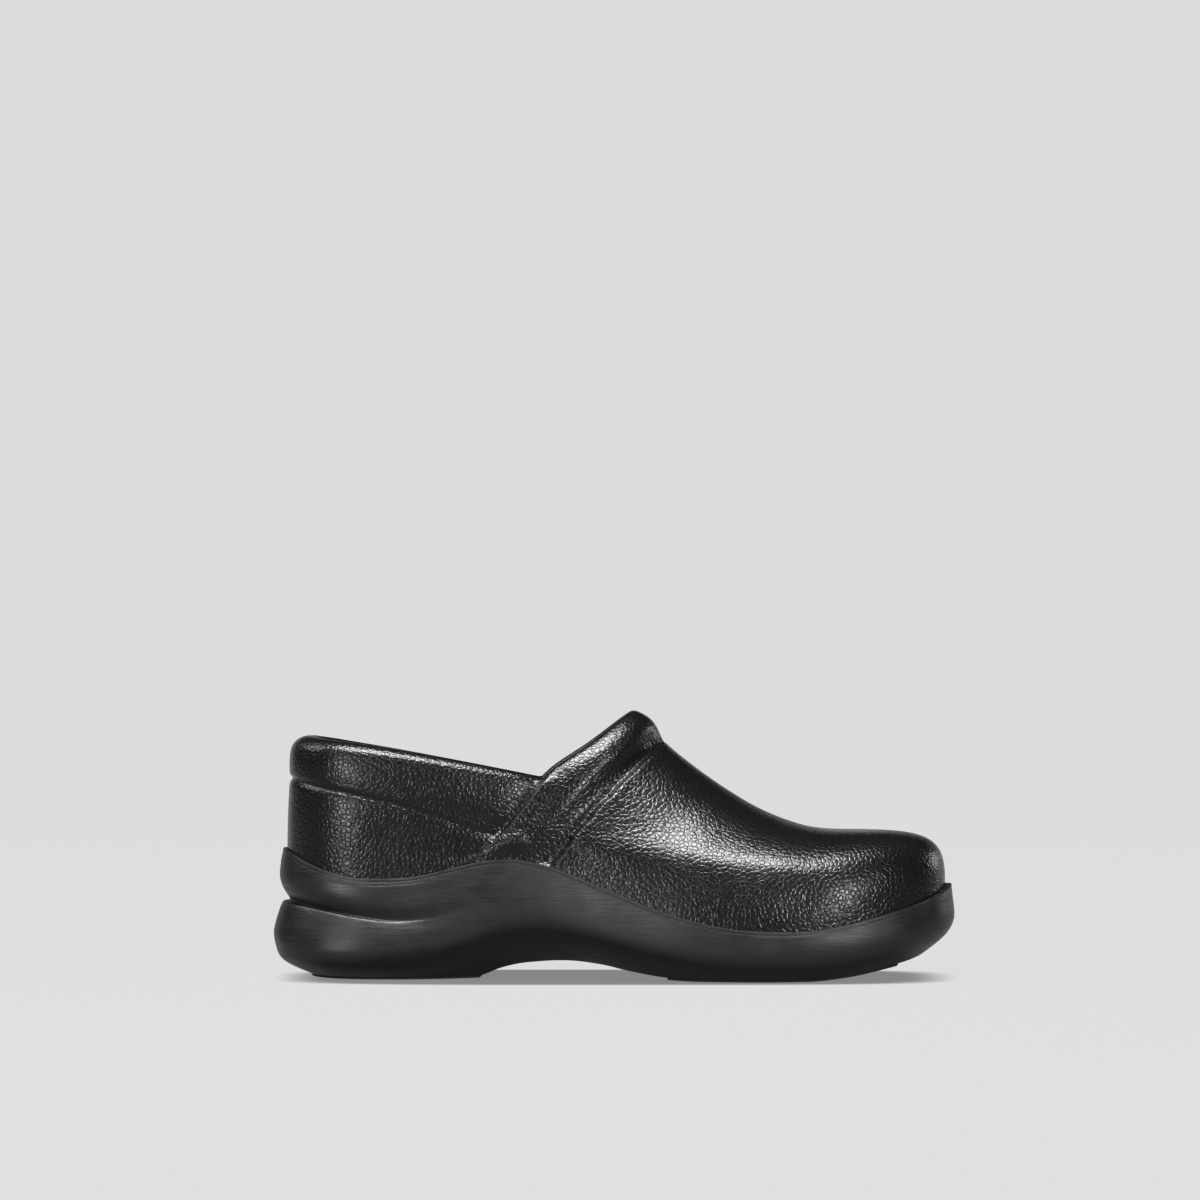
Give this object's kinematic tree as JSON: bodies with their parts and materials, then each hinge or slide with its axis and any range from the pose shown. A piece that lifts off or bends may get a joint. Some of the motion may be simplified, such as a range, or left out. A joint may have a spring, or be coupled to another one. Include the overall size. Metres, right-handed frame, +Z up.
{
  "type": "chef clog",
  "caption": "Left slip-on kitchen clog with closed heel, moulded grained upper, padded collar, throat band, deep cupped sole and ribbed treads.",
  "frame": {"origin": "on the floor, under the middle of the shoe's length and width", "axes": "+X towards the toe, +Y towards the outer side of this left shoe, +Z up"},
  "size_m": [0.2848, 0.1049, 0.11],
  "materials": {
    "upper": "black moulded polyurethane with pebbled leather grain, semi-gloss",
    "sole": "black moulded polyurethane, smooth satin",
    "insole": "black textile over foam",
    "tread": "black matt rubber"
  },
  "bodies": {
    "root": {"upper": "upper", "sole": "sole", "insole": "insole", "heel_tread": "tread", "forefoot_tread": "tread"}
  },
  "joints": []
}
